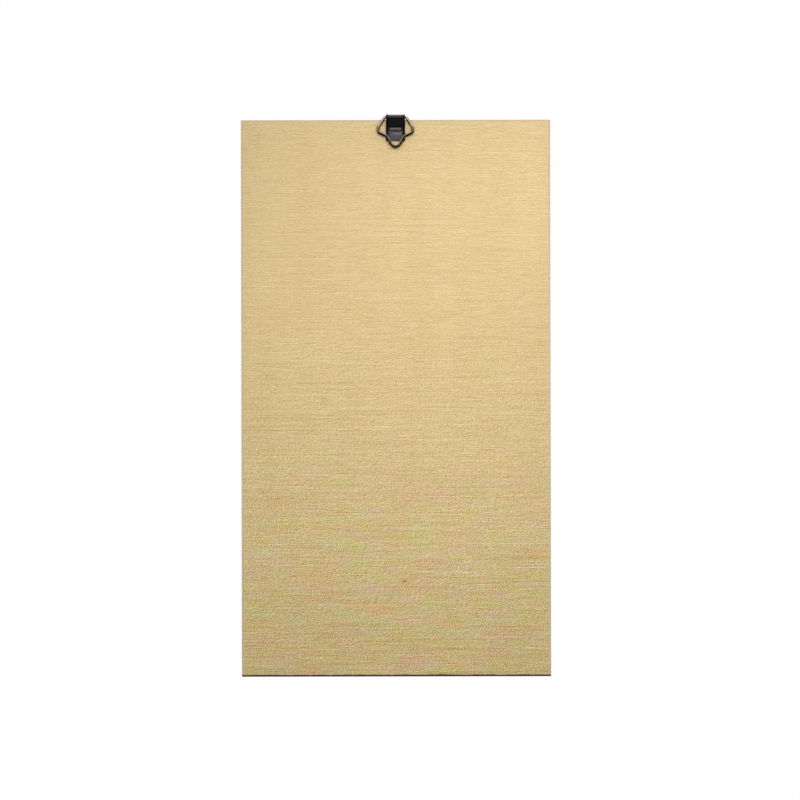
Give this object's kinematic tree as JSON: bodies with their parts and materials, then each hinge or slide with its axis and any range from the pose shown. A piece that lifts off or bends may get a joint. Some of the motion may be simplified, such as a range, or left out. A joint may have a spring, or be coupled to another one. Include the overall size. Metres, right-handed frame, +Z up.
{
  "type": "wall plaque",
  "caption": "Upright wooden wall plaque with a bevelled printed front, a plain veneered back and a shaped wire ring in a folded strap to hang it by.",
  "frame": {"origin": "centre of the board's back face", "axes": "+Y out of the back towards the wall, +Z up along the board's height, so the front looks along -Y"},
  "size_m": [0.127, 0.0128, 0.2308],
  "materials": {
    "veneer": "pale cross-grained veneer, sealed, satin",
    "stained_edge": "fibreboard stained dark brown on its edges, satin",
    "printed_card": "cream card with gilt rules, satin laminate",
    "strap_steel": "dull nickel plate",
    "ring_wire": "bright nickel plate",
    "staple_wire": "galvanised"
  },
  "bodies": {
    "board": {"core_board": "stained_edge", "back_veneer": "veneer", "front_veneer": "veneer", "front_print": "printed_card", "hanger_strap": "strap_steel", "hanger_staple": "staple_wire"},
    "ring": {"hanger_ring": "ring_wire"}
  },
  "joints": [
    {"name": "ring_swing", "type": "hinge", "parent": "board", "child": "ring", "pos_m": [0, 0.00115, 0.1154], "axis": [1, 0, 0], "range_deg": [0, 265]}
  ]
}
